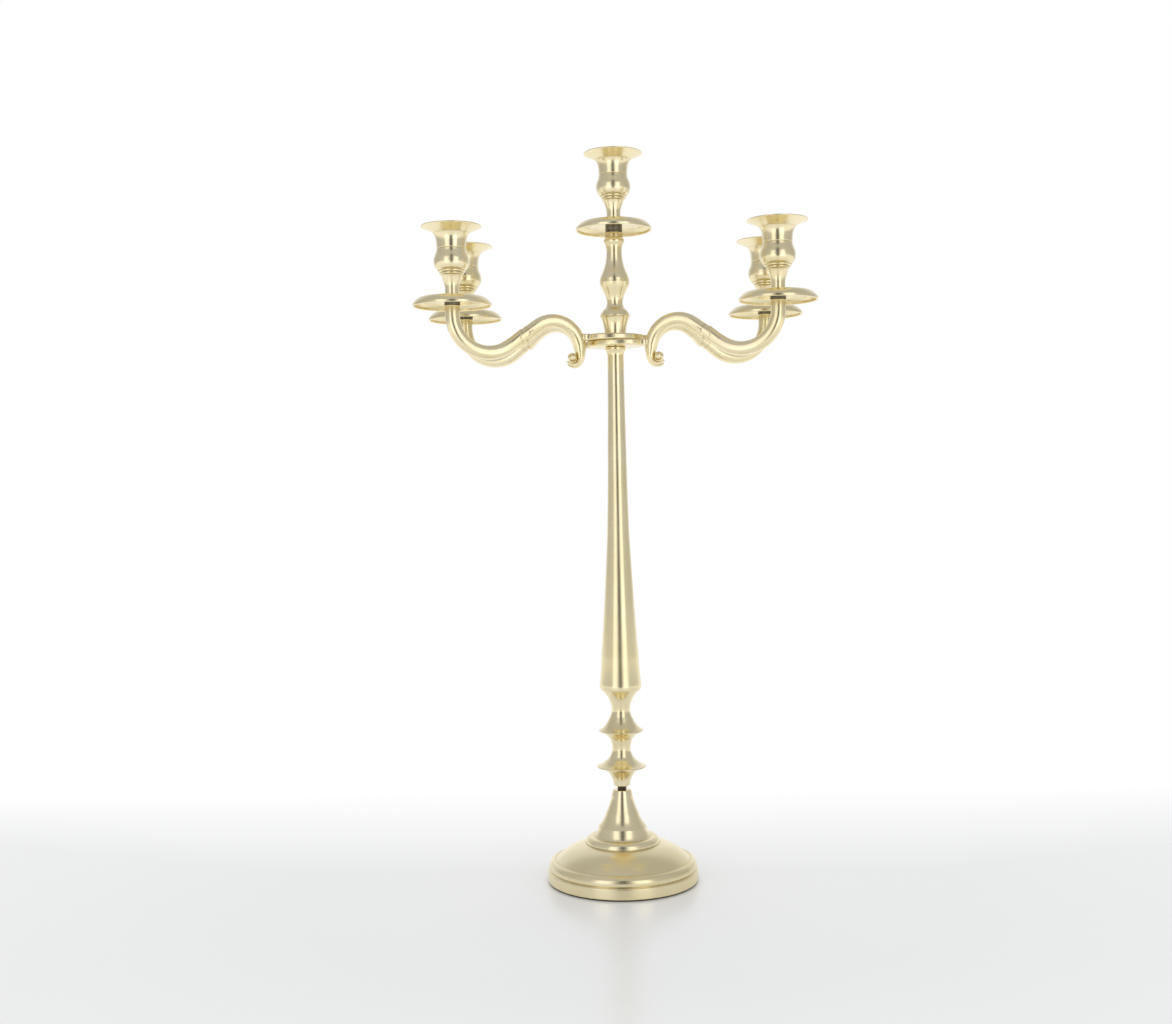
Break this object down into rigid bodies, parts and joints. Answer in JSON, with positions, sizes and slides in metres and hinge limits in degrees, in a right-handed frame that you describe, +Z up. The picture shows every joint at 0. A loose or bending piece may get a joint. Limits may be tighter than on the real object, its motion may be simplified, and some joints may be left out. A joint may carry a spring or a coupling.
{
  "type": "tabletop candelabra",
  "caption": "Tall turned metal candelabra: round stepped base, slim tapering stem, scrolled arms that swivel at the top and a raised middle light, each with a drip pan and candle cup.",
  "frame": {"origin": "on the table, under the middle of the round base", "axes": "+Z up along the stem, +X along the long side of the spread arms, +Y across it, towards the back"},
  "size_m": [0.4174, 0.204, 0.783],
  "materials": {
    "champagne_gold": "polished cast metal with a pale champagne-gold plating",
    "fastener_steel": "oiled dark steel fasteners",
    "base_felt": "dark olive wool felt glued under the base"
  },
  "bodies": {
    "stand": {"base": "champagne_gold", "base_felt": "base_felt", "base_washer": "fastener_steel", "base_nut": "fastener_steel", "base_stud": "fastener_steel", "stem": "champagne_gold", "hub_stud": "fastener_steel", "centre_post": "champagne_gold", "centre_pan": "champagne_gold", "centre_cup": "champagne_gold", "centre_cup_stud": "fastener_steel"},
    "lower_arms": {"lower_arm": "champagne_gold", "lower_right_pan": "champagne_gold", "lower_right_cup": "champagne_gold", "lower_right_cup_stud": "fastener_steel", "lower_left_pan": "champagne_gold", "lower_left_cup": "champagne_gold", "lower_left_cup_stud": "fastener_steel"},
    "upper_arms": {"upper_arm": "champagne_gold", "upper_right_pan": "champagne_gold", "upper_right_cup": "champagne_gold", "upper_right_cup_stud": "fastener_steel", "upper_left_pan": "champagne_gold", "upper_left_cup": "champagne_gold", "upper_left_cup_stud": "fastener_steel"}
  },
  "joints": [
    {"name": "lower_arm_swivel", "type": "hinge", "parent": "stand", "child": "lower_arms", "pos_m": [0, 0, 0.5788], "axis": [0, 0, 1], "continuous": true},
    {"name": "upper_arm_swivel", "type": "hinge", "parent": "lower_arms", "child": "upper_arms", "pos_m": [0, 0, 0.5853], "axis": [0, 0, 1], "range_deg": [-13, 113]}
  ]
}
